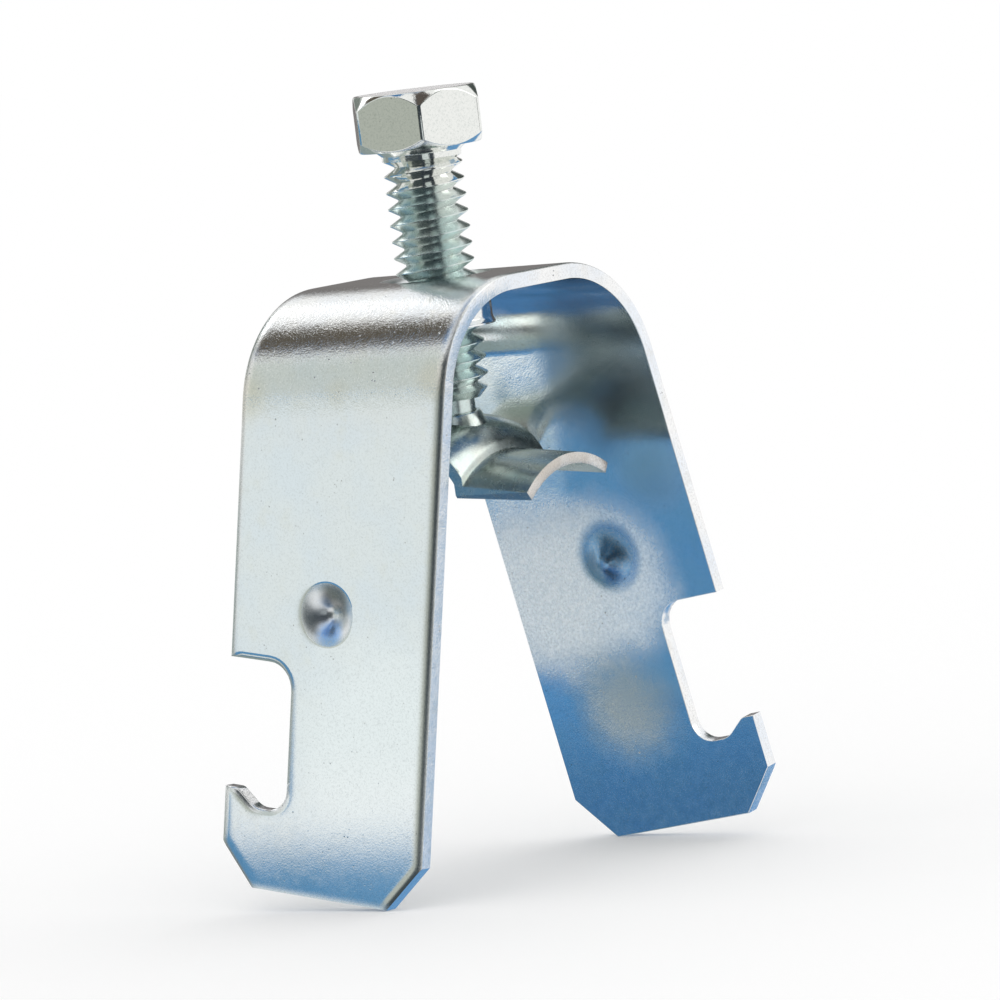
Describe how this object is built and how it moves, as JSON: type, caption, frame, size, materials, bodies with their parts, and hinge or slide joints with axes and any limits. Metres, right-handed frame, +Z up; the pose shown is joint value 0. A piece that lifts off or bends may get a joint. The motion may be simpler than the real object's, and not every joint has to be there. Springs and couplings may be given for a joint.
{
  "type": "strut pipe clamp",
  "caption": "Hooked sheet-steel strap that locks into a strut channel, with a hex screw through its web pressing a curved saddle onto a pipe.",
  "frame": {"origin": "on the screw's axis, level with the middle of the two shoulders that bear on the strut", "axes": "+Z up the screw to its head, Y along the held pipe, +X from the left leg to the right leg"},
  "size_m": [0.03, 0.0332, 0.0617],
  "materials": {
    "strap_zinc": "bright zinc plate with a fine satin grain, sheared edges left bare of grain",
    "bolt_zinc": "bright zinc plate, smooth and reflective",
    "saddle_zinc": "bright zinc plate, glossy, with a faint green-grey tint"
  },
  "bodies": {
    "strap": {"strap": "strap_zinc"},
    "saddle": {"saddle": "saddle_zinc"},
    "screw": {"bolt": "bolt_zinc"}
  },
  "joints": [
    {"name": "saddle_travel", "type": "slide", "parent": "strap", "child": "saddle", "axis": [0, 0, 1], "range_m": [-0.01, 0.0069]},
    {"name": "screw_turn", "type": "hinge", "parent": "saddle", "child": "screw", "pos_m": [0, 0, 0.03], "axis": [0, 0, 1], "range_deg": [-2835, 1956]}
  ],
  "couplings": [
    {"joint": "screw_turn", "follows": "saddle_travel", "rad_per_m": 4947.4}
  ]
}
